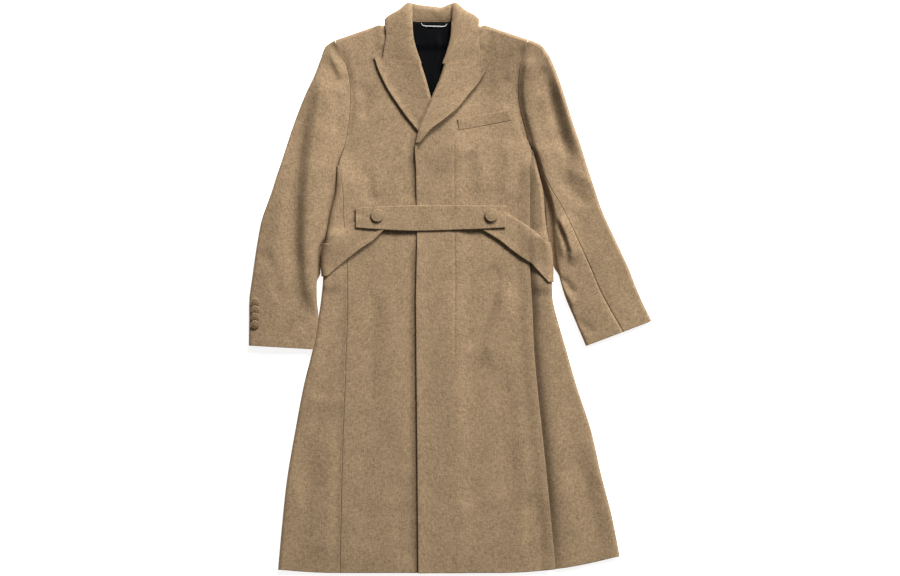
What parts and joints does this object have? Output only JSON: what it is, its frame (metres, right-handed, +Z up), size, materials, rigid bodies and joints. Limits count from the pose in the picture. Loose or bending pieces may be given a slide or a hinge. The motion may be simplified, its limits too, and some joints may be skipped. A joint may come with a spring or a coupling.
{
  "type": "overcoat",
  "caption": "Long wool overcoat with peak lapels, a fly front, a chest welt and a buttoned front belt, laid out flat on its back.",
  "frame": {"origin": "middle of the laid coat's outline, on the surface that it lies on", "axes": "+X towards the wearer's left sleeve, +Y from the hem to the collar, +Z up from the surface through the front of the coat"},
  "size_m": [0.8444, 1.2002, 0.036],
  "materials": {
    "wool": "matte heather wool melton",
    "button_cloth": "matte, covered in the same wool",
    "lining": "satin",
    "loop": "satin cord"
  },
  "bodies": {
    "root": {"back": "wool", "front_right": "wool", "front_left": "wool", "side_right": "wool", "side_left": "wool", "sleeve_right_top": "wool", "sleeve_right_under": "wool", "sleeve_left_top": "wool", "sleeve_left_under": "wool", "collar": "wool", "lapel_right": "wool", "lapel_left": "wool", "chest_welt": "wool", "belt_strap": "wool", "belt_band_right": "wool", "belt_band_left": "wool", "belt_button_right": "button_cloth", "belt_button_left": "button_cloth", "cuff_button_1": "button_cloth", "cuff_button_2": "button_cloth", "cuff_button_3": "button_cloth", "cuff_button_4": "button_cloth", "neck_lining": "lining", "hanger_loop": "loop"}
  },
  "joints": []
}
